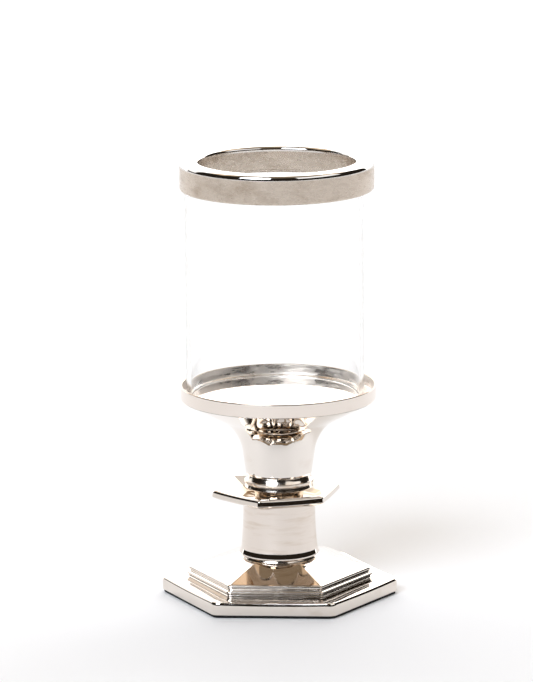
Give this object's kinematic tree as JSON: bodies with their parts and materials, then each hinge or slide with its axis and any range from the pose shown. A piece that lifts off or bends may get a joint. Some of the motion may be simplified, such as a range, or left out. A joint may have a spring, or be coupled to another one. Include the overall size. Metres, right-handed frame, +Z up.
{
  "type": "hurricane candle lantern",
  "caption": "Plated hurricane candle lantern: stepped hexagonal foot, drum, upturned six-sided collar, trumpet cup, loose glass chimney and heavy top ring.",
  "frame": {"origin": "centre of the resting face under the foot", "axes": "+Z up along the stem, +X through a corner of the hexagonal foot; the front seen in use is towards -Y"},
  "size_m": [0.1604, 0.1406, 0.3],
  "materials": {
    "felt": "short dark wool felt",
    "plated_foot": "polished nickel plate on a casting",
    "plated_stem": "polished nickel plate, turned, light tarnish",
    "plated_cup": "polished nickel plate, turned",
    "plated_ring": "polished nickel plate with tarnish smudges",
    "plain_steel": "zinc plated fasteners",
    "clear_glass": "clear blown glass"
  },
  "bodies": {
    "stand": {"felt_pad": "felt", "foot_casting": "plated_foot", "foot_nut": "plain_steel", "lock_washer": "plain_steel", "foot_washer": "plain_steel", "tie_rod": "plain_steel", "foot_disc": "plated_stem", "stem_drum": "plated_stem", "hex_collar": "plated_foot", "neck_spool": "plated_stem", "cup_bell": "plated_cup", "bell_washer": "plain_steel", "bell_nut": "plain_steel", "cup_dish": "plated_cup"},
    "chimney": {"glass_chimney": "clear_glass"},
    "cap": {"top_ring": "plated_ring"}
  },
  "joints": [
    {"name": "glass_lift", "type": "slide", "parent": "stand", "child": "chimney", "axis": [0, 0, 1], "range_m": [0, 0.03]},
    {"name": "ring_lift", "type": "slide", "parent": "chimney", "child": "cap", "axis": [0, 0, 1], "range_m": [0, 0.03]}
  ]
}
